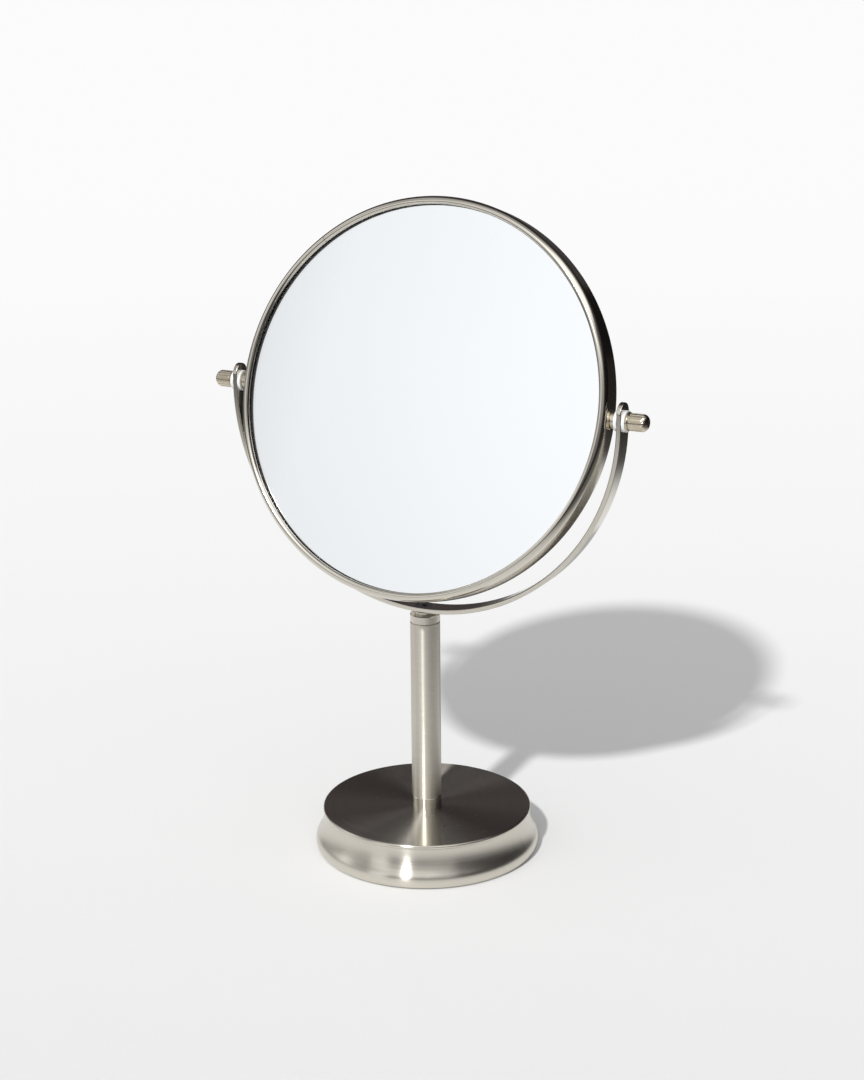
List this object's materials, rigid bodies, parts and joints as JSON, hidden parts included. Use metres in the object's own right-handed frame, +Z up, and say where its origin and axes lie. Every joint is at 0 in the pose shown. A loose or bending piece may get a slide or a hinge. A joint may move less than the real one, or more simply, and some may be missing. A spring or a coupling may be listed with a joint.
{
  "type": "table mirror",
  "caption": "Round two-sided vanity mirror in a rolled metal rim, tilting in a U-shaped yoke on a stem with a weighted round base.",
  "frame": {"origin": "on the floor, on the stem's axis, under the middle of the base", "axes": "+Z up along the stem, the flat mirror faces -Y and leans back, the pivot axis lies along X"},
  "size_m": [0.2386, 0.1164, 0.3352],
  "materials": {
    "brushed_nickel": "brushed nickel plate",
    "warm_nickel": "satin nickel plate, slightly warm",
    "nickel_screw": "nickel plated screw",
    "inner_hardware": "zinc plated steel",
    "mirror_glass": "silvered glass",
    "white_nylon": "moulded nylon",
    "gasket": "soft seal",
    "backing_card": "plain board",
    "foam": "closed-cell foam",
    "base_pad": "soft foam pad",
    "base_weight": "black painted casting"
  },
  "bodies": {
    "stand": {"base_pad": "base_pad", "base_weight": "base_weight", "base_bolt": "inner_hardware", "base_spring_washer": "inner_hardware", "base_flat_washer": "inner_hardware", "base_shell": "brushed_nickel", "lower_adaptor": "brushed_nickel", "stem_tube": "brushed_nickel", "upper_adaptor": "brushed_nickel", "yoke": "brushed_nickel", "yoke_screw": "nickel_screw", "inner_washer_left": "white_nylon", "inner_washer_right": "white_nylon", "outer_washer_left": "white_nylon", "outer_washer_right": "white_nylon"},
    "mirror_head": {"mirror_rim": "brushed_nickel", "front_gasket": "gasket", "front_glass": "mirror_glass", "backing_card": "backing_card", "spacer_ring": "foam", "rear_glass": "mirror_glass", "rear_gasket": "gasket", "pivot_stud_left": "warm_nickel", "pivot_stud_right": "warm_nickel"},
    "nut_left": {"thumb_nut_left": "warm_nickel"},
    "nut_right": {"thumb_nut_right": "warm_nickel"}
  },
  "joints": [
    {"name": "mirror_tilt", "type": "hinge", "parent": "stand", "child": "mirror_head", "pos_m": [0, 0, 0.238], "axis": [1, 0, 0], "continuous": true},
    {"name": "nut_left_turn", "type": "hinge", "parent": "mirror_head", "child": "nut_left", "pos_m": [-0.114, 0, 0.238], "axis": [-1, 0, 0], "continuous": true},
    {"name": "nut_right_turn", "type": "hinge", "parent": "mirror_head", "child": "nut_right", "pos_m": [0.114, 0, 0.238], "axis": [1, 0, 0], "continuous": true}
  ]
}
